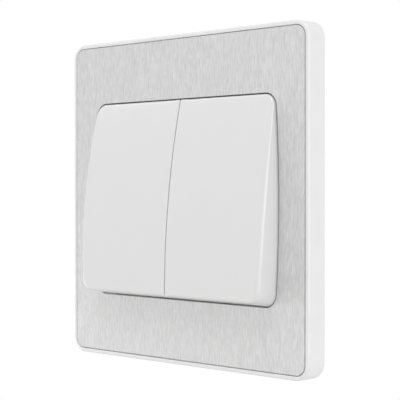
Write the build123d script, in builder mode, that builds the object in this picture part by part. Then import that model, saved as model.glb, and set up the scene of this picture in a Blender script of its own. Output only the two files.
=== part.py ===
"""Two-gang rocker light switch: two white rockers in a brushed steel front with a white surround.

The origin lies on the wall plane, midway between the two fixing holes. X runs to the right as
seen from the room, Y runs into the wall and Z runs up. Both rockers are drawn with their upper
half pressed in. Each piece of the right-hand switch is drawn once and mirrored for the left.
"""

import os
from math import cos, radians, sin, sqrt, tan

from build123d import *

os.makedirs("parts", exist_ok=True)

# Plate and wall fixing
plate_size = 95.0
plate_depth = 6.7
corner_radius = 4.8
front_edge_radius = 0.5
fixing_centres = 60.3
fixing_hole_radius = 2.0

# White surround
rim_width = 1.2
surround_wall = 2.0
surround_web = 1.5
surround_rib = 1.8

# Steel front and its barrel-shaped opening
steel_thickness = 0.8
steel_gap = 0.25
steel_corner_radius = 3.0
opening_half_width = 37.25
opening_half_height = 28.9
opening_bow = 1.15
opening_corner_radius = 4.0

# Rockers
rocker_gap = 0.32
divider_gap = 0.3
pivot_behind_front = 2.5
rocker_travel = 13.1
crown_height = 7.5
crown_radius = 246.0
side_draft = 2.0
rocker_wall = 1.8
rocker_skirt = 1.8
rocker_edge_radius = 0.7
divider_edge_bevel = 0.2
clip_wall = 1.2
clip_ledge = 0.6
clip_ledge_height = 0.9

# Mounting plate
yoke_thickness = 1.2
yoke_margin = 1.5
yoke_corner_radius = 4.0
island_half_size = 25.5
bridge_half_height = 8.0

# Dollies that the rockers clip on
gang_centre = 13.0
head_half_width = 7.0
head_half_height = 10.0
head_thickness = 1.7
tail_radius = 3.2
tail_reach = 9.5
trunnion_radius = 1.4
ear_inner = 7.2
ear_thickness = 2.0
ear_nose_radius = 3.0
ear_mouth = 2.3

# Plungers and their springs
plunger_radius = 2.0
plunger_tip_radius = 1.2
plunger_nose_radius = 0.5
plunger_nose_length = 0.9
plunger_reach = 12.0
plunger_length = 6.0
plunger_overhang = 1.0
plunger_spigot_radius = 0.9
plunger_spigot_length = 1.2
spring_wire = 0.5
spring_turns = 4
spring_steps = 12
spring_socket = 1.0

# Contact blades and contact tips
blade_depth = 8.3
blade_thickness = 0.8
blade_half_width = 2.2
blade_half_length = 9.0
blade_travel = 9.0
blade_tab_height = 1.0
tip_offset = 7.8
moving_tip_radius = 1.2
moving_tip_height = 0.55
fixed_tip_radius = 1.3
fixed_tip_height = 0.6
contact_air = 0.2

# Mechanism case
cover_thickness = 1.5
base_depth = 17.3
base_half_width = 25.0
base_half_height = 20.0
base_corner_radius = 2.0
base_wall = 1.8
cell_half_width = 10.5
cell_half_height = 11.0
rear_wall = 1.8
latch_thickness = 1.2
latch_width = 5.0
latch_reach = 5.5
latch_nub = 0.7
latch_z = 13.0
clip_width = 4.0
clip_thickness = 1.2
clip_barb = 0.6
clip_barb_length = 1.0
clip_z = 17.0

# Terminals
terminal_width = 7.0
terminal_height = 6.5
terminal_depth = 7.0
terminal_spread = 5.5
wire_radius = 1.6
wire_inset = 2.5
strip_thickness = 0.8
terminal_screw_radius = 1.75
terminal_screw_stand = 0.9
screw_slot_width = 0.6
screw_slot_depth = 0.6

# Earth connection
earth_height = 4.5
earth_depth = 8.0
earth_wire_depth = 3.6
earth_strip_width = 3.0
earth_strip_thickness = 0.3
earth_strip_foot = 3.0

# Snap hooks of the surround
hook_x = 20.0
hook_width = 4.0
hook_thickness = 1.2
hook_barb = 0.75
hook_reach = 1.6
pry_notch_width = 8.0
pry_notch_height = 1.2

# Clearances between neighbours
running_clearance = 0.05
loose_clearance = 0.1
side_clearance = 0.3
swing_clearance = 0.6
thread_clearance = 0.05

# Depths of the main planes, counted from the wall
front_y = -plate_depth
steel_back_y = front_y + steel_thickness
web_back_y = steel_back_y + surround_web
yoke_front_y = -yoke_thickness
pivot_y = front_y + pivot_behind_front
base_back_y = cover_thickness + base_depth
terminal_back_y = base_back_y - rear_wall
terminal_front_y = terminal_back_y - terminal_depth
wire_y = terminal_front_y + wire_inset

# The bowed sides of every barrel outline share the radius of the opening's sides
bow_radius = (opening_half_height**2 + opening_bow**2) / (2 * opening_bow)

# Planes of the rocker at rest: one across its face and one through its side profile
tilt = rocker_travel / 2
tilt_sin = sin(radians(tilt))
tilt_cos = cos(radians(tilt))
rocker_plane = Plane(origin=(0, pivot_y, 0), x_dir=(1, 0, 0), z_dir=(0, -tilt_cos, tilt_sin))
profile_plane = Plane(origin=(0, pivot_y, 0), x_dir=(0, tilt_sin, tilt_cos), z_dir=(1, 0, 0))
crown_centre = crown_height - crown_radius

# Heights on the rocker's end walls that meet the steel when that end is proud or pressed in
end_rise = opening_half_height * tilt_sin
proud_level = (pivot_behind_front - end_rise) / tilt_cos
proud_back_level = (pivot_behind_front - steel_thickness - end_rise) / tilt_cos
pressed_level = (pivot_behind_front + end_rise) / tilt_cos
skirt_half_height = (opening_half_height - rocker_gap + proud_back_level * tilt_sin) / tilt_cos
pressed_half_height = (opening_half_height - rocker_gap - pressed_level * tilt_sin) / tilt_cos
end_slope = (skirt_half_height - pressed_half_height) / (pressed_level - proud_level)
side_slope = tan(radians(side_draft))

# Terminal places, as distance outward from the gang's centre and height
terminal_z = base_half_height - base_wall - loose_clearance - terminal_height / 2
terminal_places = {
    "l1_terminal": (-terminal_spread, terminal_z),
    "com_terminal": (terminal_spread, terminal_z),
    "l2_terminal": (0, -terminal_z),
}


def facing(y):
    """Sketch plane at depth y that faces the room, with X across and Z up."""
    return Plane.XZ.offset(-y)


def both_sides(places):
    """Places given from the gang's centre, on the right-hand switch and mirrored on the left."""
    return [(side * (gang_centre + dx), z) for side in (1, -1) for dx, z in places]


def barrel(half_width, half_height, corner):
    """Outline with level ends and bowed sides."""
    end = half_width - bow_radius + sqrt(bow_radius**2 - half_height**2)
    with BuildSketch() as outline:
        with BuildLine():
            Line((-end, half_height), (end, half_height))
            ThreePointArc((end, half_height), (half_width, 0), (end, -half_height))
            Line((end, -half_height), (-end, -half_height))
            ThreePointArc((-end, -half_height), (-half_width, 0), (-end, half_height))
        make_face()
        fillet(outline.vertices(), corner)
    return outline.sketch


def half_barrel(half_width, half_height, inner_x, corner):
    """Right-hand half of a barrel outline, cut off straight at inner_x."""
    end = half_width - bow_radius + sqrt(bow_radius**2 - half_height**2)
    with BuildSketch() as outline:
        with BuildLine():
            Line((inner_x, half_height), (end, half_height))
            ThreePointArc((end, half_height), (half_width, 0), (end, -half_height))
            Line((end, -half_height), (inner_x, -half_height))
            Line((inner_x, -half_height), (inner_x, half_height))
        make_face()
        fillet(outline.vertices().group_by(Axis.X)[-1], corner)
    return outline.sketch


def crown_level(v, inset=0.0):
    """Height of the crown arc, or of its inside at a wall's inset, at v along the face."""
    return crown_centre + sqrt((crown_radius - inset) ** 2 - v**2)


def rocker_block(inset, bottom):
    """Drafted block of the right-hand rocker under its crown arc, inset by a wall on every side."""
    top = crown_height + 2
    levels = [bottom, proud_level, top]
    with BuildPart() as block:
        for level in levels:
            above = max(0, level - proud_level)
            half_width = opening_half_width - rocker_gap - side_slope * above - inset
            half_height = skirt_half_height - end_slope * above - inset
            with BuildSketch(rocker_plane.offset(level)):
                corner = opening_corner_radius - rocker_gap - inset
                add(half_barrel(half_width, half_height, divider_gap / 2 + inset, corner))
        loft(ruled=True)
        reach = opening_half_height + 2
        with BuildSketch(profile_plane):
            with BuildLine():
                Line((-reach, bottom), (reach, bottom))
                Line((reach, bottom), (reach, crown_level(reach, inset)))
                ThreePointArc(
                    (reach, crown_level(reach, inset)),
                    (0, crown_height - inset),
                    (-reach, crown_level(reach, inset)),
                )
                Line((-reach, crown_level(reach, inset)), (-reach, bottom))
            make_face()
        extrude(amount=opening_half_width, mode=Mode.INTERSECT)
    return block.part


# Steel front plate: flat sheet with the barrel opening
steel_size = plate_size - 2 * rim_width - 2 * steel_gap
with BuildPart() as steel_front_plate:
    with BuildSketch(facing(front_y)):
        RectangleRounded(steel_size, steel_size, steel_corner_radius)
        opening = barrel(opening_half_width, opening_half_height, opening_corner_radius)
        add(opening, mode=Mode.SUBTRACT)
    extrude(amount=-steel_thickness)

# Surround: rim and side walls, a web behind the steel, a rib round the opening and four hooks;
# the lower wall has a notch for prying it off
recess_size = plate_size - 2 * rim_width
cavity_size = plate_size - 2 * surround_wall
web_half_width = opening_half_width + swing_clearance
web_half_height = opening_half_height + swing_clearance
hook_inner_z = web_half_height + surround_rib + swing_clearance
hook_outer_z = hook_inner_z + hook_thickness
earth_strip_z = web_half_height + surround_rib + earth_height
with BuildPart() as surround_frame:
    with BuildSketch(facing(front_y)):
        RectangleRounded(plate_size, plate_size, corner_radius)
    extrude(amount=-plate_depth)
    fillet(surround_frame.faces().sort_by(Axis.Y)[0].edges(), front_edge_radius)
    with BuildSketch(facing(front_y)):
        RectangleRounded(recess_size, recess_size, steel_corner_radius + steel_gap)
    extrude(amount=-steel_thickness, mode=Mode.SUBTRACT)
    with BuildSketch(facing(0)):
        RectangleRounded(cavity_size, cavity_size, corner_radius - surround_wall)
    extrude(amount=-web_back_y, mode=Mode.SUBTRACT)
    with BuildSketch(facing(web_back_y)):
        rib_corner = opening_corner_radius + swing_clearance + surround_rib
        add(barrel(web_half_width + surround_rib, web_half_height + surround_rib, rib_corner))
    extrude(amount=web_back_y - yoke_front_y)
    with BuildSketch(facing(steel_back_y)):
        add(barrel(web_half_width, web_half_height, opening_corner_radius + swing_clearance))
    extrude(amount=steel_back_y - yoke_front_y, mode=Mode.SUBTRACT)
    with BuildSketch(facing(steel_back_y)):
        with Locations((0, earth_strip_z)):
            Rectangle(earth_strip_width + 2 * swing_clearance, earth_height)
    extrude(amount=-surround_web, mode=Mode.SUBTRACT)
    for x in (-hook_x, hook_x):
        with BuildSketch(Plane.YZ.offset(x)):
            with BuildLine():
                Polyline(
                    (web_back_y - surround_web / 2, hook_inner_z),
                    (hook_reach, hook_inner_z),
                    (hook_reach, hook_outer_z),
                    (loose_clearance, hook_outer_z + hook_barb),
                    (loose_clearance, hook_outer_z),
                    (web_back_y - surround_web / 2, hook_outer_z),
                    close=True,
                )
            make_face()
            mirror(about=Plane.XZ)
        extrude(amount=hook_width / 2, both=True)
    with BuildSketch(facing(0)):
        with Locations((0, -cavity_size / 2 - surround_wall / 2)):
            Rectangle(pry_notch_width, 2 * surround_wall)
    extrude(amount=pry_notch_height, mode=Mode.SUBTRACT)

# Mounting plate: galvanised sheet whose middle island hangs between two bridges, so that the
# rockers' skirts can dip through it; it carries the fixing holes, clip slots and bearing windows
yoke_size = cavity_size - 2 * yoke_margin
window_half_width = ear_inner + ear_thickness + side_clearance
window_half_height = ear_nose_radius * 2
divider_slot_half = divider_gap / 2 + rocker_wall + side_clearance
hook_slot_width = hook_width + 2 * side_clearance
hook_slot_height = hook_thickness + hook_barb + 2 * loose_clearance
hook_slot_z = hook_outer_z + loose_clearance - hook_slot_height / 2
with BuildPart() as mounting_plate:
    with BuildSketch(facing(yoke_front_y)):
        RectangleRounded(yoke_size, yoke_size, yoke_corner_radius)
        opening = barrel(opening_half_width, opening_half_height, opening_corner_radius)
        add(opening, mode=Mode.SUBTRACT)
        Rectangle(2 * island_half_size, 2 * island_half_size)
        Rectangle(2 * web_half_width, 2 * bridge_half_height)
        with Locations((-gang_centre, 0), (gang_centre, 0)):
            Rectangle(2 * window_half_width, 2 * window_half_height, mode=Mode.SUBTRACT)
        slot_height = island_half_size - bridge_half_height
        slot_z = bridge_half_height + slot_height / 2
        with Locations((0, slot_z), (0, -slot_z)):
            Rectangle(2 * divider_slot_half, slot_height, mode=Mode.SUBTRACT)
        with GridLocations(2 * hook_x, 2 * hook_slot_z, 2, 2):
            Rectangle(hook_slot_width, hook_slot_height, mode=Mode.SUBTRACT)
        with GridLocations(fixing_centres, 1, 2, 1):
            Circle(fixing_hole_radius, mode=Mode.SUBTRACT)
        clip_slot_width = clip_width + 2 * side_clearance
        clip_slot_height = clip_thickness + clip_barb + 2 * loose_clearance
        with GridLocations(2 * gang_centre, 2 * clip_z, 2, 2):
            Rectangle(clip_slot_width, clip_slot_height, mode=Mode.SUBTRACT)
    extrude(amount=-yoke_thickness)


# Mechanism cover: flange behind the island with snap-in bearing ears, clips that hold it in the
# mounting plate, latches over the base's nubs and posts that hold the terminals down
tail_slot_half_height = tail_radius / tilt_cos + (cover_thickness - pivot_y) * tilt_sin / tilt_cos
trunnion_bore = trunnion_radius + running_clearance
clip_inner_z = clip_z - clip_thickness / 2 - clip_barb / 2
clip_outer_z = clip_inner_z + clip_thickness
clip_catch_y = yoke_front_y - loose_clearance
latch_x = base_half_width + loose_clearance + latch_thickness / 2
nub_y = cover_thickness + latch_reach - latch_thickness - latch_nub
with BuildPart() as mechanism_cover:
    with BuildSketch(facing(0)):
        RectangleRounded(2 * base_half_width, 2 * base_half_height, base_corner_radius)
        with GridLocations(2 * (latch_x - latch_thickness / 2), 2 * latch_z, 2, 2):
            Rectangle(2 * latch_thickness, latch_width)
        with Locations((-gang_centre, 0), (gang_centre, 0)):
            slot_width = 2 * (tail_radius + swing_clearance)
            Rectangle(slot_width, 2 * (tail_slot_half_height + swing_clearance), mode=Mode.SUBTRACT)
    extrude(amount=-cover_thickness)
    for gang in (-gang_centre, gang_centre):
        for start in (gang + ear_inner, gang - ear_inner - ear_thickness):
            with BuildSketch(Plane.YZ.offset(start)):
                with Locations((pivot_y, 0)):
                    Circle(ear_nose_radius)
                with Locations((pivot_y / 2 + cover_thickness / 4, 0)):
                    Rectangle(cover_thickness / 2 - pivot_y, 2 * ear_nose_radius)
                with Locations((pivot_y, 0)):
                    Circle(trunnion_bore, mode=Mode.SUBTRACT)
                with Locations((pivot_y - ear_nose_radius / 2, 0)):
                    Rectangle(ear_nose_radius, ear_mouth, mode=Mode.SUBTRACT)
            extrude(amount=ear_thickness)
        with BuildSketch(Plane.YZ.offset(gang)):
            with BuildLine():
                Polyline(
                    (cover_thickness / 2, clip_inner_z),
                    (clip_catch_y - clip_barb_length, clip_inner_z),
                    (clip_catch_y - clip_barb_length, clip_outer_z),
                    (clip_catch_y, clip_outer_z + clip_barb),
                    (clip_catch_y, clip_outer_z),
                    (cover_thickness / 2, clip_outer_z),
                    close=True,
                )
            make_face()
            mirror(about=Plane.XZ)
        extrude(amount=clip_width / 2, both=True)
    with BuildSketch(facing(cover_thickness)):
        with GridLocations(2 * latch_x, 2 * latch_z, 2, 2):
            Rectangle(latch_thickness, latch_width)
    extrude(amount=-latch_reach)
    with BuildSketch(Plane.YZ.offset(-latch_x - latch_thickness)):
        with Locations((nub_y, latch_z), (nub_y, -latch_z)):
            Rectangle(2 * latch_nub, latch_width / 2 + 2 * loose_clearance)
    extrude(amount=2 * (latch_x + latch_thickness), mode=Mode.SUBTRACT)
    with BuildSketch(facing(cover_thickness)):
        with Locations(*both_sides(terminal_places.values())):
            Rectangle(terminal_width / 2, terminal_height / 2)
    extrude(amount=-(terminal_front_y - cover_thickness - loose_clearance))

# Mechanism base: moulded case with a cell and three terminal pockets for each switch, a window
# for each wire and a tunnel for each terminal screw
wire_window = 2 * (wire_radius + swing_clearance)
pocket_width = terminal_width + 2 * loose_clearance
pocket_half_height = (base_half_height - base_wall - cell_half_height + 1) / 2
pocket_z = base_half_height - base_wall - pocket_half_height
core_width = cell_half_width - pocket_width / 2 - base_wall
core_x = cell_half_width - core_width / 2
cradle_y = terminal_front_y + terminal_depth / 3
with BuildPart() as mechanism_base:
    with BuildSketch(facing(cover_thickness)):
        RectangleRounded(2 * base_half_width, 2 * base_half_height, base_corner_radius)
    extrude(amount=-base_depth)
    with BuildSketch(facing(nub_y + latch_nub)):
        with GridLocations(2 * base_half_width, 2 * latch_z, 2, 2):
            Rectangle(2 * latch_nub, latch_width / 2)
    extrude(amount=2 * (latch_nub - loose_clearance))
    with BuildSketch(facing(cover_thickness)):
        with Locations((-gang_centre, 0), (gang_centre, 0)):
            Rectangle(2 * cell_half_width, 2 * cell_half_height)
        places = [(dx, pocket_z if z > 0 else -pocket_z) for dx, z in terminal_places.values()]
        with Locations(*both_sides(places)):
            Rectangle(pocket_width, 2 * pocket_half_height)
        with Locations(*both_sides([(core_x, -pocket_z), (-core_x, -pocket_z)])):
            Rectangle(core_width, 2 * pocket_half_height)
    extrude(amount=-(base_depth - rear_wall), mode=Mode.SUBTRACT)
    with BuildSketch(facing(terminal_back_y)):
        with Locations((-gang_centre, 0), (gang_centre, 0)):
            Rectangle(2 * blade_half_width, 2 * blade_half_width)
    extrude(amount=terminal_back_y - cradle_y - strip_thickness)
    with BuildSketch(facing(base_back_y)):
        with Locations(*both_sides(terminal_places.values())):
            Circle(terminal_screw_radius + side_clearance)
    extrude(amount=rear_wall, mode=Mode.SUBTRACT)
    for side in (1, -1):
        places = [(dx, z) for dx, z in terminal_places.values() if z * side > 0]
        with BuildSketch(Plane.XY.offset(side * base_half_height)):
            with Locations(*[(x, wire_y) for x, z in both_sides(places)]):
                Rectangle(wire_window, wire_window)
        extrude(amount=-side * base_wall, mode=Mode.SUBTRACT)

# Rocker: crowned shell with drafted sides, with ribs inside that clip over the dolly's head
head_front = crown_level(head_half_height, rocker_wall) - running_clearance
head_back = head_front - head_thickness
clip_bottom = head_back - loose_clearance - clip_ledge_height
with BuildPart() as right_rocker:
    add(rocker_block(0, -rocker_skirt))
    crown = right_rocker.faces().filter_by(GeomType.CYLINDER).sort_by(SortBy.AREA)[-1]
    fillet(crown.edges().sort_by(Axis.X)[1:], rocker_edge_radius)
    crown = right_rocker.faces().filter_by(GeomType.CYLINDER).sort_by(SortBy.AREA)[-1]
    chamfer(crown.edges().sort_by(Axis.X)[0], divider_edge_bevel)
    add(rocker_block(rocker_wall, -rocker_skirt - 1), mode=Mode.SUBTRACT)
    inner = 2 * (head_half_width + loose_clearance)
    outer = inner + 2 * clip_wall
    inner_height = 2 * (head_half_height + loose_clearance)
    outer_height = inner_height + 2 * clip_wall
    with BuildSketch(rocker_plane.offset(ear_nose_radius + side_clearance)):
        with Locations((gang_centre, 0)):
            Rectangle(outer, outer_height)
            Rectangle(inner, inner_height, mode=Mode.SUBTRACT)
    extrude(amount=crown_height - rocker_wall / 2 - ear_nose_radius - side_clearance)
    with BuildSketch(rocker_plane.offset(clip_bottom)):
        with Locations((gang_centre, 0)):
            Rectangle(inner, outer_height)
            Rectangle(inner, inner_height - 2 * clip_ledge, mode=Mode.SUBTRACT)
    extrude(amount=clip_ledge_height)

# Dolly: head that the rocker clips on, tube for the plunger, stiffening web and a trunnion shaft
dolly_axis = Axis((gang_centre, pivot_y, 0), rocker_plane.z_dir)
with BuildPart() as right_dolly:
    with BuildSketch(rocker_plane.offset(head_back)):
        with Locations((gang_centre, 0)):
            Rectangle(2 * head_half_width, 2 * head_half_height)
    extrude(amount=head_thickness)
    with BuildSketch(rocker_plane.offset(-trunnion_radius)):
        with Locations((gang_centre, 0)):
            Rectangle(2 * (ear_inner - side_clearance), 2 * trunnion_radius)
    extrude(amount=head_back + trunnion_radius)
    with BuildSketch(rocker_plane.offset(-tail_reach)):
        with Locations((gang_centre, 0)):
            Circle(tail_radius)
    extrude(amount=tail_reach + head_back)
    with BuildSketch(Plane.YZ.offset(gang_centre)):
        with Locations((pivot_y, 0)):
            Circle(trunnion_radius)
    extrude(amount=ear_inner + ear_thickness, both=True)
    with BuildSketch(rocker_plane.offset(-tail_reach)):
        with Locations((gang_centre, 0)):
            Circle(plunger_radius + running_clearance)
    extrude(amount=tail_reach + spring_socket, mode=Mode.SUBTRACT)

# Plunger: turned pin with a spigot for the spring and a tapered tip that presses the blade
shoulder = -tail_reach - plunger_overhang
plunger_top = shoulder + plunger_length
nose_start = plunger_nose_length - plunger_reach
with BuildPart() as right_plunger:
    with BuildSketch(profile_plane.offset(gang_centre)):
        with BuildLine():
            Polyline(
                (0, -plunger_reach),
                (0, plunger_top + plunger_spigot_length),
                (plunger_spigot_radius, plunger_top + plunger_spigot_length),
                (plunger_spigot_radius, plunger_top),
                (plunger_radius, plunger_top),
                (plunger_radius, shoulder),
                (plunger_tip_radius, shoulder),
                (plunger_tip_radius, nose_start),
                (plunger_nose_radius, -plunger_reach),
                close=True,
            )
        make_face()
    revolve(axis=dolly_axis)

# Spring: compression coil between the plunger's shoulder and the end of the dolly's bore
spring_end = spring_wire / 2 + running_clearance
spring_bottom = plunger_top + spring_end
spring_height = spring_socket - spring_end - spring_bottom
with BuildPart() as right_spring:
    coil = Helix(
        pitch=spring_height / spring_turns,
        height=spring_height,
        radius=plunger_radius - loose_clearance - spring_wire / 2,
        center=rocker_plane.from_local_coords((gang_centre, 0, spring_bottom)),
        direction=rocker_plane.z_dir,
        mode=Mode.PRIVATE,
    )
    turns = int(spring_turns * spring_steps)
    for step in range(turns + 1):
        point, along = coil @ (step / turns), coil % (step / turns)
        foot = dolly_axis.position + dolly_axis.direction * (point - dolly_axis.position).dot(
            dolly_axis.direction
        )
        with BuildSketch(Plane(origin=point, x_dir=point - foot, z_dir=along)):
            RegularPolygon(spring_wire / 2, 5)
    loft(ruled=True)

# Contact blade: rocking strip with a side tab in each cradle ear, lower end back at rest
blade_tilt = radians(blade_travel / 2)
blade_plane = Plane(
    origin=(gang_centre, blade_depth, 0),
    x_dir=(1, 0, 0),
    z_dir=(0, -cos(blade_tilt), -sin(blade_tilt)),
)
cradle_inner = blade_half_width + side_clearance
cradle_outer = cradle_inner + strip_thickness
with BuildPart() as right_contact_blade:
    with BuildSketch(blade_plane.offset(-blade_thickness / 2)):
        Rectangle(2 * blade_half_width, 2 * blade_half_length)
        Rectangle(2 * (cradle_outer + side_clearance), blade_tab_height)
    extrude(amount=blade_thickness)

# Moving contact tips: two rivet heads on the back of the blade
with BuildPart() as right_blade_tips:
    with BuildSketch(blade_plane.offset(-blade_thickness / 2)):
        with Locations((0, tip_offset), (0, -tip_offset)):
            Circle(moving_tip_radius)
    extrude(amount=-moving_tip_height)

# Fixed contact tips: a rivet head on each strip, an air gap behind the tilted blade's tips
swing = (tip_offset + moving_tip_radius) * sin(blade_tilt)
stand = (blade_thickness / 2 + moving_tip_height) * cos(blade_tilt)
fixed_front_y = blade_depth + swing + stand + contact_air
strip_y = fixed_front_y + fixed_tip_height
with BuildPart() as fixed_contact_tips:
    with BuildSketch(facing(strip_y)):
        with Locations(*both_sides([(0, tip_offset), (0, -tip_offset)])):
            Circle(fixed_tip_radius)
    extrude(amount=fixed_tip_height)


def terminal_block(dx, z):
    """Brass block of one terminal on the right-hand switch, without its bores."""
    with BuildPart() as block:
        with BuildSketch(facing(terminal_back_y)):
            with Locations((gang_centre + dx, z)):
                Rectangle(terminal_width, terminal_height)
        extrude(amount=terminal_depth)
    return block.part


def terminal_bores(dx, z):
    """Wire bore along Z and screw thread from the back, to be cut from one terminal."""
    side = 1 if z > 0 else -1
    with BuildPart() as bores:
        with BuildSketch(Plane.XY.offset(z + side * terminal_height / 2)):
            with Locations((gang_centre + dx, wire_y)):
                Circle(wire_radius)
        extrude(amount=-side * terminal_height)
        with BuildSketch(facing(terminal_back_y)):
            with Locations((gang_centre + dx, z)):
                Circle(terminal_screw_radius + thread_clearance)
        extrude(amount=terminal_back_y - wire_y)
    return bores.part


# First line terminal: block with an arm that carries the upper fixed tip
block_edge_z = terminal_z - terminal_height / 2
arm_half_width = fixed_tip_radius + side_clearance
leg_inner = terminal_spread - terminal_width / 2
leg_outer = terminal_spread - wire_radius
with BuildPart() as right_l1_terminal:
    add(terminal_block(*terminal_places["l1_terminal"]))
    with BuildSketch(facing(strip_y + strip_thickness)):
        with BuildLine():
            Polyline(
                (gang_centre + arm_half_width, tip_offset - arm_half_width),
                (gang_centre + arm_half_width, tip_offset + arm_half_width),
                (gang_centre - leg_inner, tip_offset + arm_half_width),
                (gang_centre - leg_inner, block_edge_z + strip_thickness),
                (gang_centre - leg_outer, block_edge_z + strip_thickness),
                (gang_centre - leg_outer, tip_offset - arm_half_width),
                close=True,
            )
        make_face()
    extrude(amount=strip_thickness)
    add(terminal_bores(*terminal_places["l1_terminal"]), mode=Mode.SUBTRACT)

# Second line terminal: block with a tapered arm that carries the lower fixed tip
with BuildPart() as right_l2_terminal:
    add(terminal_block(*terminal_places["l2_terminal"]))
    with BuildSketch(facing(strip_y + strip_thickness)):
        with BuildLine():
            Polyline(
                (gang_centre + arm_half_width, arm_half_width - tip_offset),
                (gang_centre + arm_half_width, -arm_half_width - tip_offset),
                (gang_centre + terminal_width / 2, -block_edge_z),
                (gang_centre + terminal_width / 2, -block_edge_z - strip_thickness),
                (gang_centre - terminal_width / 2, -block_edge_z - strip_thickness),
                (gang_centre - terminal_width / 2, -block_edge_z),
                (gang_centre - arm_half_width, -arm_half_width - tip_offset),
                (gang_centre - arm_half_width, arm_half_width - tip_offset),
                close=True,
            )
        make_face()
    extrude(amount=strip_thickness)
    add(terminal_bores(*terminal_places["l2_terminal"]), mode=Mode.SUBTRACT)

# Common terminal: block with a leg to the cradle, whose notched ears carry the blade's tabs
cradle_half_height = blade_half_width
notch_half = blade_tab_height / 2 + loose_clearance
notch_back_y = blade_depth + blade_thickness / 2 + loose_clearance
ear_front_y = blade_depth - blade_thickness - notch_half
with BuildPart() as right_com_terminal:
    add(terminal_block(*terminal_places["com_terminal"]))
    with BuildSketch(facing(cradle_y + strip_thickness)):
        with BuildLine():
            Polyline(
                (gang_centre - cradle_outer, -cradle_half_height),
                (gang_centre + leg_outer, -cradle_half_height),
                (gang_centre + leg_outer, block_edge_z + strip_thickness),
                (gang_centre + leg_inner, block_edge_z + strip_thickness),
                (gang_centre + leg_inner, cradle_half_height),
                (gang_centre - cradle_outer, cradle_half_height),
                close=True,
            )
        make_face()
    extrude(amount=strip_thickness)
    for start in (gang_centre + cradle_inner, gang_centre - cradle_outer):
        with BuildSketch(Plane.YZ.offset(start)):
            with Locations(((ear_front_y + cradle_y) / 2, 0)):
                Rectangle(cradle_y - ear_front_y, 2 * cradle_half_height)
            with Locations(((ear_front_y + notch_back_y) / 2, 0)):
                Rectangle(notch_back_y - ear_front_y, 2 * notch_half, mode=Mode.SUBTRACT)
        extrude(amount=strip_thickness)
    add(terminal_bores(*terminal_places["com_terminal"]), mode=Mode.SUBTRACT)



def slotted_screws(places, tip_y, end_y):
    """Headless screws along Y from their tips to their slotted ends."""
    with BuildPart() as screws:
        with BuildSketch(facing(end_y)):
            with Locations(*places):
                Circle(terminal_screw_radius)
        extrude(amount=end_y - tip_y)
        with BuildSketch(facing(end_y)):
            with Locations(*places):
                Rectangle(2 * terminal_screw_radius, screw_slot_width)
        extrude(amount=screw_slot_depth, mode=Mode.SUBTRACT)
    return screws.part


# Terminal screws: backed off until they clear the wire bores
with BuildPart() as terminal_screws:
    tip_y = wire_y + wire_radius + side_clearance
    places = both_sides(terminal_places.values())
    add(slotted_screws(places, tip_y, terminal_back_y + terminal_screw_stand))

# Earth terminal: block on the back of the mounting plate, its wire bore running across
earth_z = web_half_height + 2 * loose_clearance + side_clearance + earth_height / 2
with BuildPart() as earth_terminal:
    with BuildSketch(facing(0)):
        with Locations((0, earth_z)):
            Rectangle(terminal_height, earth_height)
    extrude(amount=-earth_depth)
    with BuildSketch(Plane.YZ.offset(terminal_height / 2)):
        with Locations((earth_wire_depth, earth_z)):
            Circle(wire_radius)
    extrude(amount=-terminal_height, mode=Mode.SUBTRACT)
    with BuildSketch(facing(earth_depth)):
        with Locations((0, earth_z)):
            Circle(terminal_screw_radius + thread_clearance)
    extrude(amount=earth_depth - earth_wire_depth, mode=Mode.SUBTRACT)

# Earth screw: backed off clear of the wire bore
with BuildPart() as earth_screw:
    tip_y = earth_wire_depth + wire_radius + side_clearance
    add(slotted_screws([(0, earth_z)], tip_y, earth_depth + terminal_screw_stand))

# Earth spring: bent strip from the mounting plate to the back of the steel front
foot_y = yoke_front_y - earth_strip_thickness / 2
nose_y = steel_back_y + earth_strip_thickness / 2 + loose_clearance
foot_start_z = earth_strip_z + 1
nose_z = earth_strip_z - 1
with BuildPart() as earth_spring:
    with BuildSketch(Plane.YZ):
        with BuildLine():
            Polyline(
                (foot_y, foot_start_z + earth_strip_foot),
                (foot_y, foot_start_z),
                (nose_y, nose_z),
                (nose_y + 2 * earth_strip_thickness, nose_z - 3 * earth_strip_thickness),
            )
        trace(line_width=earth_strip_thickness)
    extrude(amount=earth_strip_width / 2, both=True)

shared_pieces = {
    "steel_front_plate": steel_front_plate,
    "surround_frame": surround_frame,
    "mounting_plate": mounting_plate,
    "mechanism_cover": mechanism_cover,
    "mechanism_base": mechanism_base,
    "fixed_contact_tips": fixed_contact_tips,
    "terminal_screws": terminal_screws,
    "earth_terminal": earth_terminal,
    "earth_screw": earth_screw,
    "earth_spring": earth_spring,
}
right_pieces = {
    "rocker": right_rocker,
    "dolly": right_dolly,
    "plunger": right_plunger,
    "spring": right_spring,
    "contact_blade": right_contact_blade,
    "blade_tips": right_blade_tips,
    "l1_terminal": right_l1_terminal,
    "l2_terminal": right_l2_terminal,
    "com_terminal": right_com_terminal,
}
for name, piece in shared_pieces.items():
    piece.part.label = name
    export_step(piece.part, f"parts/{name}.step")
for name, piece in right_pieces.items():
    piece.part.label = f"right_{name}"
    export_step(piece.part, f"parts/right_{name}.step")
    with BuildPart() as left_piece:
        mirror(piece.part, about=Plane.YZ)
    left_piece.part.label = f"left_{name}"
    export_step(left_piece.part, f"parts/left_{name}.step")
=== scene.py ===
"""Two-gang rocker light switch: a brushed steel front set in a white surround, two crowned rockers
that tilt in its opening, and the switching mechanism that hangs behind them on a zinc-coated plate.
Lengths are in millimetres and turn to metres where a mesh is made. Those of the floor, the lamps
and the camera are in metres from the start."""
import math

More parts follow.
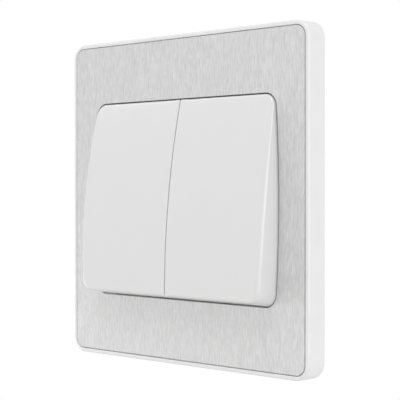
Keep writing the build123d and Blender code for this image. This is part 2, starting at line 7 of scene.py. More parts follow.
import bpy
import numpy as np
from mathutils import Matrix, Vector


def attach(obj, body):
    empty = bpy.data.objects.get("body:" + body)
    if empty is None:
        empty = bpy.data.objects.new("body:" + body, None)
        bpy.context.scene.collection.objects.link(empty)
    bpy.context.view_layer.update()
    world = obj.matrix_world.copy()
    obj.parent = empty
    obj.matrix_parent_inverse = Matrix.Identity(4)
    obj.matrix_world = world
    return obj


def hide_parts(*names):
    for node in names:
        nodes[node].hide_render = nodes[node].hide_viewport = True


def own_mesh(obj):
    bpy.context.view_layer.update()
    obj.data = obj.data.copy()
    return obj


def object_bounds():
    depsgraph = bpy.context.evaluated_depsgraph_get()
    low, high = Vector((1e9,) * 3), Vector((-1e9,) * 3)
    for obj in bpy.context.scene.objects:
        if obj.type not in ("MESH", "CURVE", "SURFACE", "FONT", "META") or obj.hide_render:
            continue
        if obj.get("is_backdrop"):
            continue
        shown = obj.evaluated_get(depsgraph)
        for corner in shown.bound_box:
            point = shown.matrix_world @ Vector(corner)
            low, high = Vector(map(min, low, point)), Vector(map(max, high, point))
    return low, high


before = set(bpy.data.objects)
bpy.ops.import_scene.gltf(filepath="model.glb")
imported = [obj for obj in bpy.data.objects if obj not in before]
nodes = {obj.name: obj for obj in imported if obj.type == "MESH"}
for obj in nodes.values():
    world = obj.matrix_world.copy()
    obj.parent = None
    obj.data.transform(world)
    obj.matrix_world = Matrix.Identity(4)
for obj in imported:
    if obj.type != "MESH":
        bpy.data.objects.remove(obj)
cad_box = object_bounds()

# Steel front plate: a stamped stainless sheet with a barrel-shaped opening, brushed from top to
# bottom and bonded into the surround's recess. Its edges are broken by tumbling, so each carries
# a thin bright line.
millimetre = 0.001
plate_front = -6.7
steel_thickness = 0.8
steel_back = plate_front + steel_thickness
steel_half_size = 46.05
steel_corner = 3.0
steel_edge_break = 0.12
opening_half_width = 37.25
opening_half_height = 28.9
opening_corner = 4.0
opening_bow = 1.15
# The bow is an arc, so its radius follows from half its chord and its rise
bow_radius = (opening_half_height**2 + opening_bow**2) / (2 * opening_bow)
ring_points = 960
ring_angles = np.linspace(0, 2 * math.pi, ring_points, endpoint=False)
corner_points = 80
end_points = 40
sharp_angle = math.radians(35)


def barrel_quarter(half_width, half_height, corner):
    """Upper right quarter of a barrel: a side bowed with bow_radius, a corner arc tangent to it and
    to the level end, then the end. Offsets of one barrel share the bow's centre."""
    radius = bow_radius + half_width - opening_half_width
    centre_x = half_width - radius
    corner_z = half_height - corner
    corner_x = centre_x + math.sqrt((radius - corner) ** 2 - corner_z**2)
    lean = math.atan2(corner_z, corner_x - centre_x)
    side = np.linspace(0, lean, corner_points)
    turn = np.linspace(lean, math.pi / 2, corner_points)[1:]
    end = np.linspace(corner_x, 0, end_points)[1:]
    x = np.concatenate([centre_x + radius * np.cos(side), corner_x + corner * np.cos(turn), end])
    level = np.full(len(end), half_height)
    z = np.concatenate([radius * np.sin(side), corner_z + corner * np.sin(turn), level])
    return x, z


def square_quarter(half_size, corner):
    """Upper right quarter of a square with round corners: a straight side, a corner arc and the
    straight top."""
    turn = np.linspace(0, math.pi / 2, corner_points)
    inner = half_size - corner
    side = np.linspace(0, inner, end_points)[:-1]
    edge = np.full(len(side), half_size)
    x = np.concatenate([edge, inner + corner * np.cos(turn), side[::-1]])
    z = np.concatenate([side, inner + corner * np.sin(turn), edge])
    return x, z


def ring(quarter, depth):
    """Where rays from the middle at ring_angles meet the outline that the quarter makes when it is
    mirrored left and down, at one depth; one row of x, y, z."""
    x, z = quarter
    x = np.concatenate([x, -x[-2::-1], -x[1:], x[-2:0:-1]])
    z = np.concatenate([z, z[-2::-1], -z[1:], -z[-2:0:-1]])
    turn = np.unwrap(np.arctan2(z, x))
    ray_x = np.interp(ring_angles, turn, x, period=2 * math.pi)
    ray_z = np.interp(ring_angles, turn, z, period=2 * math.pi)
    return np.stack([ray_x, np.full(ring_points, depth), ray_z], axis=1)


def edge_rows(quarter_at, depth, radius, side, first, last, steps=5):
    """Rows of a rounded edge: a quarter circle of the given radius between the plane at depth and
    the wall behind it. The side is 1 for an edge that faces in and -1 for one that faces out, and
    the angle runs from first to last, 0 on the wall and 90 on the plane."""
    rows = []
    for angle in np.radians(np.linspace(first, last, steps)):
        growth = side * radius * (1 - math.cos(angle))
        rows.append(ring(quarter_at(growth), depth + radius * (1 - math.sin(angle))))
    return rows


def grid_mesh(grid, ends=None):
    """Points and faces of a closed surface from rows of points. Each row closes on itself. The last
    row joins the first, unless ends holds the two points in which the rows run out."""
    rows, columns, _ = grid.shape
    number = np.arange(rows * columns).reshape(rows, columns)
    points = grid.reshape(-1, 3)
    faces = []
    if ends is None:
        number = np.vstack([number, number[:1]])
    else:
        first, last = number[0], number[-1]
        low, high = np.full(columns, len(points)), np.full(columns, len(points) + 1)
        points = np.vstack([points, ends])
        faces = np.stack([np.roll(first, -1), first, low], -1).tolist()
        faces += np.stack([last, np.roll(last, -1), high], -1).tolist()
    here, there = number[:-1], number[1:]
    quads = np.stack([here, np.roll(here, -1, 1), np.roll(there, -1, 1), there], -1)
    return points, faces + quads.reshape(-1, 4).tolist()


def loose_mesh(name, points, faces):
    """Object from points in millimetres and faces that all turn the same way; they are turned
    outwards by the sign of the volume that they enclose."""
    mesh = bpy.data.meshes.new(name)
    mesh.from_pydata((points * millimetre).tolist(), [], faces)
    mesh.calc_loop_triangles()
    triangles = np.array([triangle.vertices for triangle in mesh.loop_triangles])
    a, b, c = points[triangles[:, 0]], points[triangles[:, 1]], points[triangles[:, 2]]
    if np.einsum("ij,ij->i", a, np.cross(b, c)).sum() < 0:
        mesh.flip_normals()
    loose = bpy.data.objects.new(name, mesh)
    bpy.context.scene.collection.objects.link(loose)
    return loose


def finished_piece(name, points, faces, material, body, tools=()):
    """Visible piece that rides on a body. Tools are pairs of a boolean operation and a loose mesh,
    which are used up one after the other before the piece is shaded. Edges that turn by more than
    sharp_angle stay sharp."""
    piece = loose_mesh(name, points, faces)
    for operation, tool in tools:
        step = piece.modifiers.new("shape", "BOOLEAN")
        step.operation = operation
        step.solver = "EXACT"
        step.object = tool
        graph = bpy.context.evaluated_depsgraph_get()
        shaped = bpy.data.meshes.new_from_object(piece.evaluated_get(graph))
        piece.modifiers.clear()
        piece.data = shaped
        bpy.data.objects.remove(tool)
    piece.data.shade_smooth()
    piece.data.set_sharp_from_angle(angle=sharp_angle)
    piece.data.materials.clear()
    piece.data.materials.append(material)
    weights = piece.modifiers.new("face_weighted_normals", "WEIGHTED_NORMAL")
    weights.keep_sharp = True
    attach(piece, body)
    return piece


def linear(colour):
    """Linear colour of an sRGB hex value."""
    parts = [int(colour[i : i + 2], 16) / 255 for i in (1, 3, 5)]
    return [c / 12.92 if c <= 0.04045 else ((c + 0.055) / 1.055) ** 2.4 for c in parts] + [1.0]


def per_metre(size):
    """Scale, on coordinates in metres, of a pattern whose features lie size millimetres apart."""
    return 1 / (size * millimetre)


def set_ramp(ramp, low, low_colour, high, high_colour):
    """Sets the places and the sRGB colours of a colour ramp's two ends."""
    for end, place, colour in zip(ramp.color_ramp.elements, (low, high), (low_colour, high_colour)):
        end.position = place
        end.color = linear(colour)


def add_node(owner, kind, inputs=None, **settings):
    """Adds a node with its settings to a material or the world. An input is a value, or the output
    that is linked to it."""
    made = owner.node_tree.nodes.new("ShaderNode" + kind)
    for key, value in settings.items():
        setattr(made, key, value)
    for key, value in (inputs or {}).items():
        if isinstance(value, bpy.types.NodeSocket):
            owner.node_tree.links.new(value, made.inputs[key])
        else:
            made.inputs[key].default_value = value
    return made


def new_material(name, **constants):
    """Material with its principled shader, whose constant sockets are set here."""
    material = bpy.data.materials.new(name)
    material.use_nodes = True
    shader = material.node_tree.nodes["Principled BSDF"]
    for key, value in constants.items():
        shader.inputs[key.replace("_", " ")].default_value = value
    return material, shader


relief_depth = 0.02
drift_size = 18
drift_share = 0.06


def brushed_metal(name, dark, light, smooth, rough, line_width, line_length, relief, metallic=1.0):
    """Metal with straight parallel lines along Z: noise squeezed across the lines and drawn out
    along them tints the metal, roughens it and makes a fine relief, and a slow drift makes some
    parts a little lighter. The real lines are a few hundredths of a millimetre wide, too fine to
    show, so they are drawn as coarse as they need to show."""
    material, shader = new_material(name, Metallic=metallic, Anisotropic=0.45)
    place = add_node(material, "TexCoord").outputs["Object"]
    squeeze = (per_metre(line_width), per_metre(line_width), per_metre(line_length))
    drawn = add_node(material, "Mapping", {"Vector": place, "Scale": squeeze}).outputs["Vector"]
    grit = {"Vector": drawn, "Scale": 1.0, "Detail": 4.0, "Roughness": 0.65}
    lines = add_node(material, "TexNoise", grit).outputs["Fac"]
    cloud = {"Vector": place, "Scale": per_metre(drift_size), "Detail": 2.0}
    clouded = add_node(material, "TexNoise", cloud).outputs["Fac"]
    drift = add_node(material, "Math", {0: clouded, 1: drift_share}, operation="MULTIPLY")
    amount = add_node(material, "Math", {0: lines, 1: drift.outputs[0]}, operation="ADD")
    tone = add_node(material, "ValToRGB", {"Fac": amount.outputs[0]})
    set_ramp(tone, 0.3, dark, 0.76, light)
    levels = {"Value": lines, "From Min": 0.3, "From Max": 0.7, "To Min": smooth, "To Max": rough}
    polish = add_node(material, "MapRange", levels)
    depth = {"Height": lines, "Strength": relief, "Distance": relief_depth * millimetre}
    bump = add_node(material, "Bump", depth)
    links = material.node_tree.links
    links.new(tone.outputs["Color"], shader.inputs["Base Color"])
    links.new(polish.outputs["Result"], shader.inputs["Roughness"])
    links.new(bump.outputs["Normal"], shader.inputs["Normal"])
    return material


# Brushed stainless steel: fine lines a few millimetres long break every reflection into a soft
# vertical grain. The clear lacquer over it scatters as much light as the metal mirrors.
brushed_steel = brushed_metal(
    "brushed_stainless_steel", "#B3B3B3", "#DDDDDD", 0.46, 0.58, 0.17, 2.4, 0.3, metallic=0.4
)


def opening_at(growth):
    """The opening's outline, grown outwards on every side."""
    width, height = opening_half_width + growth, opening_half_height + growth
    return barrel_quarter(width, height, opening_corner + growth)


def steel_edge_at(growth):
    """The sheet's outer outline, grown outwards on every side."""
    return square_quarter(steel_half_size + growth, steel_corner + growth)


steel_rows = edge_rows(opening_at, plate_front, steel_edge_break, 1, 0, 90)
steel_rows += edge_rows(steel_edge_at, plate_front, steel_edge_break, -1, 90, 0)
steel_rows += [ring(steel_edge_at(0), steel_back), ring(opening_at(0), steel_back)]
points, faces = grid_mesh(np.array(steel_rows))
steel = finished_piece("steel_front", points, faces, brushed_steel, "fixed_case")
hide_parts("steel_front_plate")

# Surround: one white moulding in glossy PC with a thin rim flush with the steel, side walls, a web
# behind the steel and a rib round the opening. Its four hooks snap into the mounting plate, and its
# lower wall has a notch for prying it off.
surround_half_size = 47.5
surround_corner = 4.8
rim_edge = 0.5
recess_half_size = 46.3
recess_corner = 3.25
recess_edge = 0.15
cavity_half_size = 45.5
cavity_corner = 2.8
web_thickness = 1.5
web_back = steel_back + web_thickness
swing_gap = 0.6
rib_thickness = 1.8
yoke_front = -1.2
wall_edge = 0.15
round_steps = 9
rib_outer = opening_half_height + swing_gap + rib_thickness
hook_places = (-20.0, 20.0)
hook_width = 4.0
hook_thickness = 1.2
hook_inner = rib_outer + swing_gap
hook_outer = hook_inner + hook_thickness
hook_barb = 0.75
hook_reach = 1.6
barb_start = 0.1
earth_slot_half_width = 2.1
earth_slot_height = 4.5
earth_slot_low = rib_outer + earth_slot_height / 2
pry_notch_half_width = 4.0
pry_notch_height = 1.2
# The shapes that cut the slot and the notch reach this far past what they cut
spare = 1.0
wipe_size = 2
gloss_spread = 0.03


def moulded_plastic(name, shade, light, gloss, grain, relief, mottle=14):
    """Moulded plastic: a faint cloudy tone from the pigment's flow, a slightly uneven polish and a
    fine skin. Mottle and grain are in millimetres. The real skin is too fine to show, so its grain
    is drawn coarser."""
    material, shader = new_material(name, IOR=1.5)
    place = add_node(material, "TexCoord").outputs["Object"]
    cloud = {"Vector": place, "Scale": per_metre(mottle), "Detail": 3.0, "Distortion": 0.4}
    flow = add_node(material, "TexNoise", cloud)
    tone = add_node(material, "ValToRGB", {"Fac": flow.outputs["Fac"]})
    set_ramp(tone, 0.3, shade, 0.7, light)
    smears = {"Vector": place, "Scale": per_metre(wipe_size), "Detail": 2.0}
    wipe = add_node(material, "TexNoise", smears).outputs["Fac"]
    levels = {"Value": wipe, "To Min": gloss - gloss_spread, "To Max": gloss + gloss_spread}
    polish = add_node(material, "MapRange", levels)
    fine = {"Vector": place, "Scale": per_metre(grain), "Detail": 2.0}
    skin = add_node(material, "TexNoise", fine).outputs["Fac"]
    depth = {"Height": skin, "Strength": relief, "Distance": relief_depth * millimetre}
    bump = add_node(material, "Bump", depth)
    links = material.node_tree.links
    links.new(tone.outputs["Color"], shader.inputs["Base Color"])
    links.new(polish.outputs["Result"], shader.inputs["Roughness"])
    links.new(bump.outputs["Normal"], shader.inputs["Normal"])
    return material


# White polycarbonate from a polished mould: soft reflections that run along the rounded edges
surround_plastic = moulded_plastic(
    "white_polycarbonate", "#E0E0E0", "#E2E2E2", 0.34, 0.8, 0.01, mottle=6
)


def prism(near, far):
    """Points and faces between two outlines with equally many corners: both outlines, and a
    four-cornered face from each edge of the one to that of the other."""
    turn = np.arange(len(near))
    after = np.roll(turn, -1)
    sides = np.stack([turn, after, after + len(near), turn + len(near)], -1)
    caps = [turn[::-1].tolist(), (turn + len(near)).tolist()]
    return np.vstack([near, far]), caps + sides.tolist()


def together(*solids):
    """Points and faces of several solids as one, with the later ones' numbers moved up."""
    points, faces = np.empty((0, 3)), []
    for more_points, more_faces in solids:
        faces += [[number + len(points) for number in face] for face in more_faces]
        points = np.vstack([points, more_points])
    return points, faces


def box(half_width, low, high, front, back):
    """Prism along Y over a rectangle whose middle is at x = 0."""
    x, z = half_width * np.array([-1, 1, 1, -1]), np.array([low, low, high, high])
    return prism(np.stack([x, x * 0 + front, z], -1), np.stack([x, x * 0 + back, z], -1))


def hook(x, side):
    """Snap hook behind the web: a flat finger whose barb faces away from the middle, as a prism
    along X over its side view. It is rooted half way into the web."""
    root = web_back - web_thickness / 2
    barb = hook_outer + hook_barb
    y = np.array([root, hook_reach, hook_reach, barb_start, barb_start, root])
    z = np.array([hook_inner, hook_inner, hook_outer, barb, hook_outer, hook_outer])
    y, z = y[::side], side * z[::side]
    half = hook_width / 2
    return prism(np.stack([y * 0 + x - half, y, z], -1), np.stack([y * 0 + x + half, y, z], -1))


def surround_edge_at(growth):
    """The surround's outer outline, grown outwards on every side."""
    return square_quarter(surround_half_size + growth, surround_corner + growth)


def recess_at(growth):
    """Outline of the recess that the steel lies in, grown outwards on every side."""
    return square_quarter(recess_half_size + growth, recess_corner + growth)


cavity = square_quarter(cavity_half_size, cavity_corner)
web_opening = opening_at(swing_gap)
rib_outside = opening_at(swing_gap + rib_thickness)
surround_rows = [ring(web_opening, steel_back), ring(recess_at(0), steel_back)]
surround_rows += edge_rows(recess_at, plate_front, recess_edge, 1, 0, 90)
surround_rows += edge_rows(surround_edge_at, plate_front, rim_edge, -1, 90, 0, round_steps)
surround_rows += [ring(surround_edge_at(0), -wall_edge), ring(surround_edge_at(-wall_edge), 0)]
surround_rows += [ring(cavity, 0), ring(cavity, web_back), ring(rib_outside, web_back)]
surround_rows += [ring(rib_outside, yoke_front), ring(web_opening, yoke_front)]
points, faces = grid_mesh(np.array(surround_rows))
hooks = [hook(x, side) for x in hook_places for side in (1, -1)]
slot_span = (earth_slot_low, earth_slot_low + earth_slot_height)
earth_slot = box(earth_slot_half_width, *slot_span, steel_back - spare, web_back + spare)
notch_span = (-surround_half_size - spare, -cavity_half_size + spare)
pry_notch = box(pry_notch_half_width, *notch_span, -pry_notch_height, spare)
surround_tools = [
    ("UNION", loose_mesh("hooks", *together(*hooks))),
    ("DIFFERENCE", loose_mesh("openings", *together(earth_slot, pry_notch))),
]
surround = finished_piece(
    "white_surround", points, faces, surround_plastic, "fixed_case", surround_tools
)
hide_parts("surround_frame")

# Rockers: injection-moulded ABS shells, polished, with drafted sides and a crowned face. The left
# one is the right one mirrored. Each clips over its dolly's head with a square collar inside, and
# is drawn with its top pressed in. Its ends just clear the opening, proud or pressed in.
pivot_behind_front = 2.5
pivot_depth = plate_front + pivot_behind_front
tilt = math.radians(6.55)
rocker_gap = 0.32
divider_half_gap = 0.15
crown_height = 7.5
crown_radius = 246.0
wall_thickness = 1.8
skirt_level = -1.8
side_slope = math.tan(math.radians(2))
face_edge = 0.7
divider_edge = 0.2
edge_change_start = 0.5
edge_change_width = 2.5
inner_corner = 0.25
inner_corner_points = 12
# The walls start to lean where the proud end leaves the opening. How far the ends reach there and
# at the pressed end, and so their slope, follows from the tilt and the gap to the opening.
end_rise = opening_half_height * math.sin(tilt)
draft_level = (pivot_behind_front - end_rise) / math.cos(tilt)
proud_back_level = (pivot_behind_front - steel_thickness - end_rise) / math.cos(tilt)
pressed_level = (pivot_behind_front + end_rise) / math.cos(tilt)
end_reach = opening_half_height - rocker_gap
skirt_half_height = (end_reach + proud_back_level * math.sin(tilt)) / math.cos(tilt)
pressed_half_height = (end_reach - pressed_level * math.sin(tilt)) / math.cos(tilt)
end_slope = (skirt_half_height - pressed_half_height) / (pressed_level - draft_level)
rocker_middle = 18.5
rocker_columns = 720
# Rows on the crown and inside lie at these shares of the way from the rocker's middle to its edge
crown_shares = (0.985, 0.96, 0.92, 0.86, 0.78, 0.69, 0.59, 0.48, 0.36, 0.24, 0.12, 0.02)
inner_shares = (0.02, 0.25, 0.5, 0.75, 1.0)


def crown(v, inset=0.0):
    """Level of the crown arc at v along the face, or of the inside that lies inset below it."""
    return crown_height - crown_radius + np.sqrt((crown_radius - inset) ** 2 - v**2)


def rocker_outline(level, inset):
    """Outline of the right rocker at one level: straight beside the divider, bowed outside, with
    round corners. Its walls lean in above draft_level. The points lie on rays from the rocker's
    middle."""
    above = max(0.0, level - draft_level)
    half_width = opening_half_width - rocker_gap - side_slope * above - inset
    half_height = skirt_half_height - end_slope * above - inset
    inner_x = divider_half_gap + inset
    x, v = barrel_quarter(half_width, half_height, opening_corner - rocker_gap - inset)
    keep = x > inner_x + inner_corner
    turn = np.linspace(math.pi / 2, math.pi, inner_corner_points)
    x = np.concatenate([x[keep], inner_x + inner_corner + inner_corner * np.cos(turn)])
    v = np.concatenate([v[keep], half_height - inner_corner + inner_corner * np.sin(turn)])
    x, v = np.concatenate([x, x[::-1]]), np.concatenate([v, -v[::-1]])
    around = np.arctan2(v, x - rocker_middle)
    order = np.argsort(around)
    rays = np.linspace(-math.pi, math.pi, rocker_columns, endpoint=False)
    ray_x = np.interp(rays, around[order], x[order], period=2 * math.pi)
    ray_v = np.interp(rays, around[order], v[order], period=2 * math.pi)
    return np.stack([ray_x, ray_v], axis=1)


def at_level(outline, level):
    """Outline of x and v lifted to one level w, or to a level for each of its points."""
    return np.column_stack([outline, np.broadcast_to(level, len(outline))])


def walls_meet_crown(inset):
    """Rim where the leaning walls meet the crown, and how far the walls lean for each level. The
    rim's levels are found by following the walls to the crown's level a few times over."""
    low, high = rocker_outline(draft_level, inset), rocker_outline(crown_height, inset)
    lean = (high - low) / (crown_height - draft_level)
    level = np.full(rocker_columns, crown_height - inset)
    for _ in range(8):
        spot = low + lean * (level - draft_level)[:, None]
        level = crown(spot[:, 1], inset)
    return at_level(spot, level), lean


def unit(vectors):
    """The vectors divided by their lengths."""
    return vectors / np.linalg.norm(vectors, axis=-1, keepdims=True)


def rocker_shell():
    """Rows of the right rocker's shell in its own x, v, w, and the two points where they run out.
    They start in the middle of the inside, run out along it, down the inner wall and up the outer
    one, round the face's edge with an arc that touches wall and crown, and in along the crown. The
    arc's centre lies off both surfaces by its radius, which grows away from the divider."""
    middle = np.array([rocker_middle, 0.0])
    inner_rim, _ = walls_meet_crown(wall_thickness)
    rows = []
    for share in inner_shares:
        spot = middle + (inner_rim[:, :2] - middle) * share
        rows.append(at_level(spot, crown(spot[:, 1], wall_thickness)))
    down, up = (draft_level, skirt_level), (skirt_level, draft_level)
    for inset, levels in ((wall_thickness, down), (0, up)):
        rows += [at_level(rocker_outline(level, inset), level) for level in levels]
    rim, lean = walls_meet_crown(0)
    along = np.roll(rim, -1, 0) - np.roll(rim, 1, 0)
    wall_normal = unit(np.cross(along, at_level(lean, 1.0)))
    face_normal = unit(np.column_stack([rim[:, 0] * 0, rim[:, 1], rim[:, 0] * 0 + crown_radius]))
    cosine = np.sum(wall_normal * face_normal, axis=1, keepdims=True)
    from_divider = np.clip((rim[:, 0] - edge_change_start) / edge_change_width, 0, 1)
    growth = from_divider**2 * (3 - 2 * from_divider)
    radius = (divider_edge + (face_edge - divider_edge) * growth)[:, None]
    centre = rim - radius * (wall_normal + face_normal) / (1 + cosine)
    angle = np.arccos(cosine)
    for part in np.linspace(0, 1, round_steps):
        swing = np.sin((1 - part) * angle) * wall_normal + np.sin(part * angle) * face_normal
        rows.append(centre + radius * swing / np.sin(angle))
    edge = rows[-1][:, :2]
    for share in crown_shares:
        spot = middle + (edge - middle) * share
        rows.append(at_level(spot, crown(spot[:, 1])))
    ends = [[rocker_middle, 0, crown_height - wall_thickness], [rocker_middle, 0, crown_height]]
    return np.array(rows), np.array(ends)


def tilted(points, side):
    """From the rocker's own x, v, w to the switch's x, y, z, with the top pressed in."""
    x, v, w = points[..., 0], points[..., 1], points[..., 2]
    depth = pivot_depth + v * math.sin(tilt) - w * math.cos(tilt)
    height = v * math.cos(tilt) + w * math.sin(tilt)
    return np.stack([side * x, depth, height], axis=-1)


dolly_x = 13.0
dolly_head_half_width = 7.0
dolly_head_half_height = 10.0
dolly_head_thickness = 1.7
head_gap = 0.05
clip_gap = 0.1
collar_half_width = dolly_head_half_width + clip_gap
collar_half_height = dolly_head_half_height + clip_gap
collar_wall = 1.2
collar_level = 3.3
collar_top = crown_height - wall_thickness / 2
ledge_reach = 0.6
ledge_height = 0.9
dolly_head_top = crown(dolly_head_half_height, wall_thickness) - head_gap
ledge_high = dolly_head_top - dolly_head_thickness - clip_gap


def rectangle(half_width, low, high, level):
    """Corners of a rectangle across the dolly's axis, at one level of the rocker's own x, v, w."""
    x = dolly_x + half_width * np.array([-1, 1, 1, -1])
    return at_level(np.stack([x, [low, low, high, high]], -1), level)


def collar():
    """Rows of the square collar that clips over the dolly's head: a closed tube in four rows of
    four corners, outside and inside, at its lower and upper level."""
    rows = []
    up, down = (collar_level, collar_top), (collar_top, collar_level)
    for wall, levels in ((collar_wall, up), (0, down)):
        width, height = collar_half_width + wall, collar_half_height + wall
        rows += [rectangle(width, -height, height, level) for level in levels]
    return np.array(rows)


def ledges(side):
    """The two ledges at the collar's ends that catch under the dolly's head, as prisms."""
    inner, outer = collar_half_height - ledge_reach, collar_half_height + collar_wall
    made = []
    for low, high in ((inner, outer), (-outer, -inner)):
        near = rectangle(collar_half_width, low, high, ledge_high - ledge_height)
        far = rectangle(collar_half_width, low, high, ledge_high)
        made.append(prism(tilted(near, side), tilted(far, side)))
    return together(*made)


# White ABS, polished: a broad soft sheen on the crown and a clear line along each rounded edge
rocker_plastic = moulded_plastic("white_abs", "#DBDBDB", "#DCDCDC", 0.20, 0.8, 0.01)
hands = ((1, "right"), (-1, "left"))
shell, shell_ends = rocker_shell()
for side, hand in hands:
    clips = [
        ("UNION", loose_mesh("collar", *grid_mesh(tilted(collar(), side)))),
        ("UNION", loose_mesh("ledges", *ledges(side))),
    ]
    points, faces = grid_mesh(tilted(shell, side), tilted(shell_ends, side))
    name, body = f"{hand}_rocker_shell", f"{hand}_rocker_body"
    rocker = finished_piece(name, points, faces, rocker_plastic, body, clips)
    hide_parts(f"{hand}_rocker")

# Mounting plate: hot-dip galvanised steel sheet, punched, which is screwed to the wall box and
# carries all the rest. The zinc freezes in flat crystals a few millimetres across, each a little
# lighter or darker than the next.
crystal_size = 4
bloom_size = 1.2
bloom_share = 0.35
galvanised, galvanised_shader = new_material("galvanised_steel", Metallic=1.0)
place = add_node(galvanised, "TexCoord").outputs["Object"]
crystal = add_node(galvanised, "TexVoronoi", {"Vector": place, "Scale": per_metre(crystal_size)})
cloud = {"Vector": place, "Scale": per_metre(bloom_size), "Detail": 3.0}
bloom = add_node(galvanised, "TexNoise", cloud)
crystal_grey = add_node(galvanised, "RGBToBW", {"Color": crystal.outputs["Color"]})
bloom_grey = add_node(galvanised, "RGBToBW", {"Color": bloom.outputs["Color"]})
greys = {"Factor": bloom_share, "A": crystal_grey.outputs["Val"], "B": bloom_grey.outputs["Val"]}
grey = add_node(galvanised, "Mix", greys).outputs["Result"]
tone = add_node(galvanised, "ValToRGB", {"Fac": grey})
set_ramp(tone, 0.2, "#9EA2A5", 0.8, "#C0C3C5")
polish = add_node(galvanised, "MapRange", {"Value": grey, "To Min": 0.34, "To Max": 0.55})
galvanised.node_tree.links.new(tone.outputs["Color"], galvanised_shader.inputs["Base Color"])
galvanised.node_tree.links.new(polish.outputs["Result"], galvanised_shader.inputs["Roughness"])
for slot in nodes["mounting_plate"].material_slots:
    slot.material = galvanised

# Case, dollies and plungers: the moulded case clips to the mounting plate, the dollies snap into
# its bearing ears and the plungers slide in the dollies. The case is glass-filled polyester, the
# dollies are acetal and the plungers are nylon.

# Satin polyester: its fibres leave a dull, slightly rough skin
case_plastic = moulded_plastic("satin_polyester", "#DAD8D2", "#E2E0DA", 0.48, 0.35, 0.3, mottle=9)
# White acetal: denser and a little glossier, with a waxy look
dolly_plastic = moulded_plastic("white_acetal", "#D5D3CD", "#DDDBD5", 0.38, 0.4, 0.15, mottle=6)
# Natural nylon: creamy, without pigment
plunger_plastic = moulded_plastic("natural_nylon", "#DDD7C6", "#E6E0D0", 0.36, 0.4, 0.12, mottle=4)

# Plunger springs: coils of drawn steel wire whose end turns lie close together. Each sits between
# the plunger's shoulder and the end of the dolly's bore.
wire_radius = 0.25
coil_gap = 0.05
bore_radius = 2.0
bore_end = 1.0
bore_clearance = 0.1
plunger_shoulder = -4.5
coil_radius = bore_radius - bore_clearance - wire_radius
coil_low = plunger_shoulder + wire_radius + coil_gap
coil_high = bore_end - wire_radius - coil_gap
coil_turns = 6
turn_steps = 40
wire_sides = 14
closed_rise = 2.1 * wire_radius
# Drawn spring steel: dark, with the fine bright lines that the die leaves along the wire
spring_steel = brushed_metal("drawn_spring_steel", "#7F8183", "#9A9C9E", 0.28, 0.4, 0.12, 1.5, 0.2)


def coil():
    """Rows of points round a helix in the rocker's own x, v, w, and the middles of its two ends.
    The first and last turn rise by closed_rise, the others evenly in between."""
    turns = np.linspace(0, coil_turns, coil_turns * turn_steps + 1)
    turn_marks = [0, 1, coil_turns - 1, coil_turns]
    level_marks = [coil_low, coil_low + closed_rise, coil_high - closed_rise, coil_high]
    rise = np.interp(turns, turn_marks, level_marks)
    angle = 2 * math.pi * turns
    out = np.column_stack([np.cos(angle), np.sin(angle), angle * 0])
    middle = coil_radius * out + np.column_stack([angle * 0 + dolly_x, angle * 0, rise])
    along = unit(np.gradient(middle, axis=0))
    over = np.cross(along, out)
    rows = []
    for turn in np.linspace(0, 2 * math.pi, wire_sides, endpoint=False):
        rows.append(middle + wire_radius * (math.cos(turn) * out + math.sin(turn) * over))
    return np.stack(rows, axis=1), middle[[0, -1]]


wire, wire_ends = coil()
for side, hand in hands:
    points, faces = grid_mesh(tilted(wire, side), tilted(wire_ends, side))
    name, body = f"{hand}_coil_spring", f"{hand}_rocker_body"
    spring = finished_piece(name, points, faces, spring_steel, body)
    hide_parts(f"{hand}_spring")
    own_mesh(spring)

# Contacts, terminals, screws and earth spring: rolled brass blades with silver tips, turned brass
# terminals, zinc-plated steel screws and a strip bent from spring steel. They sit in the case's
# pockets, all but the earth clamp and the earth spring, which the mounting plate carries.

# Rolled brass: warm, with long faint lines along the strip
contact_brass = brushed_metal("rolled_brass", "#B9935A", "#CFAA6C", 0.28, 0.42, 0.25, 4, 0.2)
# Turned brass: a little deeper in colour, with the short marks of the tool
terminal_brass = brushed_metal("turned_brass", "#B08C50", "#C9A561", 0.30, 0.45, 0.35, 1.5, 0.25)
# Contact silver: pale and bright, wiped by use
silver = brushed_metal("silver_contact_face", "#CFCFCB", "#E0E0DC", 0.2, 0.34, 0.2, 0.8, 0.15)
# Zinc plate: bluish grey over the fine lines of the steel
zinc_plate = brushed_metal("zinc_plated_steel", "#A7ABAF", "#C3C7CA", 0.26, 0.4, 0.2, 0.9, 0.2)
terminals = [f"{hand}_{place}_terminal" for _, hand in hands for place in ("l1", "l2", "com")]
finishes = {
    case_plastic: ["mechanism_cover", "mechanism_base"],
    dolly_plastic: ["left_dolly", "right_dolly"],
    plunger_plastic: ["left_plunger", "right_plunger"],
    contact_brass: ["left_contact_blade", "right_contact_blade"],
    terminal_brass: terminals + ["earth_terminal"],
    silver: ["fixed_contact_tips", "left_blade_tips", "right_blade_tips"],
    spring_steel: ["earth_spring"],
    zinc_plate: ["terminal_screws", "earth_screw"],
}
for finish, names in finishes.items():
    for name in names:
        for slot in nodes[name].material_slots:
            slot.material = finish

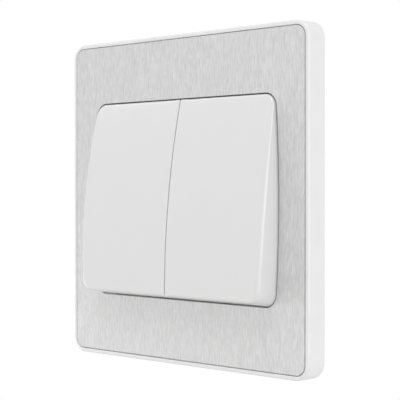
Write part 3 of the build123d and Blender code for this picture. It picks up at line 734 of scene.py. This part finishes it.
# Room: a matt white floor 0.3 m below the middle of the switch, which hangs free as on a wall. The
# floor fades out towards its rim, and the room round it is plain white.
floor_level = -0.3
floor_radius = 1.1
fade_radius = 0.5
patch_size = 150
floor_paint, floor_shader = new_material("matt_white_floor", Roughness=0.9)
place = add_node(floor_paint, "TexCoord").outputs["Object"]
cloud = {"Vector": place, "Scale": per_metre(patch_size), "Detail": 3.0}
patches = add_node(floor_paint, "TexNoise", cloud)
tone = add_node(floor_paint, "ValToRGB", {"Fac": patches.outputs["Fac"]})
set_ramp(tone, 0.0, "#F4F4F3", 1.0, "#F9F9F8")
reach = add_node(floor_paint, "VectorMath", {0: place}, operation="LENGTH").outputs["Value"]
levels = {"Value": reach, "From Min": fade_radius, "From Max": floor_radius}
fade = add_node(floor_paint, "MapRange", levels)
clear = add_node(floor_paint, "BsdfTransparent")
layers = {0: fade.outputs["Result"], 1: floor_shader.outputs[0], 2: clear.outputs[0]}
faded = add_node(floor_paint, "MixShader", layers)
floor_output = floor_paint.node_tree.nodes["Material Output"]
floor_paint.node_tree.links.new(tone.outputs["Color"], floor_shader.inputs["Base Color"])
floor_paint.node_tree.links.new(faded.outputs[0], floor_output.inputs["Surface"])
bpy.ops.mesh.primitive_circle_add(vertices=96, radius=floor_radius, fill_type="NGON")
floor = bpy.context.object
floor.name = "floor"
floor.location.z = floor_level
floor.data.materials.append(floor_paint)
floor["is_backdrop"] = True

ambient_strength = 0.55
world = bpy.data.worlds.new("white_room")
bpy.context.scene.world = world
world.use_nodes = True
ambient = world.node_tree.nodes["Background"]
ambient.inputs["Color"].default_value = linear("#FFFFFF")
ambient.inputs["Strength"].default_value = ambient_strength
seen = add_node(world, "Background", {"Color": linear("#FFFFFF"), "Strength": 1.0})
ray = add_node(world, "LightPath").outputs
bounced = {0: ray["Is Glossy Ray"], 1: ray["Is Transmission Ray"]}
mirrored = add_node(world, "Math", bounced, operation="MAXIMUM")
direct = {0: ray["Is Camera Ray"], 1: mirrored.outputs[0]}
shown = add_node(world, "Math", direct, operation="MAXIMUM")
layers = {0: shown.outputs[0], 1: ambient.outputs[0], 2: seen.outputs[0]}
sky = add_node(world, "MixShader", layers)
world.node_tree.links.new(sky.outputs[0], world.node_tree.nodes["World Output"].inputs["Surface"])

# Lamps: soft boxes round the switch, each with its distance in metres, its bearing and height in
# degrees, its width and length in metres and its power in watts. The one beside the camera brings
# out the rockers' long edges, the tall one on the left their top edges.
lamps = [
    ("left_soft_box", 1.2, -76, -16, 0.5, 0.5, 4.2),
    ("camera_soft_box", 1.3, 48, 6, 0.3, 0.3, 1.6),
    ("right_soft_box", 1.3, 84, 10, 0.6, 0.6, 4.0),
    ("far_right_soft_box", 1.3, 110, 0, 0.6, 0.6, 1.7),
    ("tall_soft_box", 1.3, -62, 42, 0.35, 1.0, 2.8),
    ("top_soft_box", 1.3, 10, 62, 0.5, 0.5, 4.8),
    ("front_soft_box", 1.3, -15, 0, 0.5, 0.5, 0.9),
    ("low_soft_box", 1.3, -20, -48, 0.5, 0.5, 0.8),
]
for name, distance, bearing, height, width, length, power in lamps:
    light = bpy.data.lights.new(name, "AREA")
    light.shape = "RECTANGLE"
    light.size = width
    light.size_y = length
    light.energy = power
    lamp = bpy.data.objects.new(name, light)
    bpy.context.scene.collection.objects.link(lamp)
    around, up = math.radians(bearing), math.radians(height)
    lamp.location = distance * Vector(
        (math.sin(around) * math.cos(up), -math.cos(around) * math.cos(up), math.sin(up))
    )
    lamp.rotation_euler = (-lamp.location).to_track_quat("-Z", "Y").to_euler()

# Camera: at eye level to the right of the switch, with a long lens. Its bearing is measured from
# straight in front of the switch, and its height is the angle that it looks down.
camera_bearing = math.radians(44.569)
camera_height = math.radians(0.561)
camera_place = (0.2572, -0.2599, 0.0034)
lens = bpy.data.cameras.new("camera")
lens.lens = 113.42
lens.sensor_width = 36.0
camera = bpy.data.objects.new("camera", lens)
bpy.context.scene.collection.objects.link(camera)
camera.location = camera_place
level_reach = math.cos(camera_height)
looking_back = Vector(
    (
        math.sin(camera_bearing) * level_reach,
        -math.cos(camera_bearing) * level_reach,
        math.sin(camera_height),
    )
)
camera.rotation_euler = looking_back.to_track_quat("Z", "Y").to_euler()
bpy.context.scene.camera = camera
bpy.context.scene.view_settings.view_transform = "Standard"

# Boxes of the CAD model and of the finished scene, as plain lists
boxes = {"cad": cad_box, "visual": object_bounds()}
boxes = {name: [list(corner) for corner in corners] for name, corners in boxes.items()}
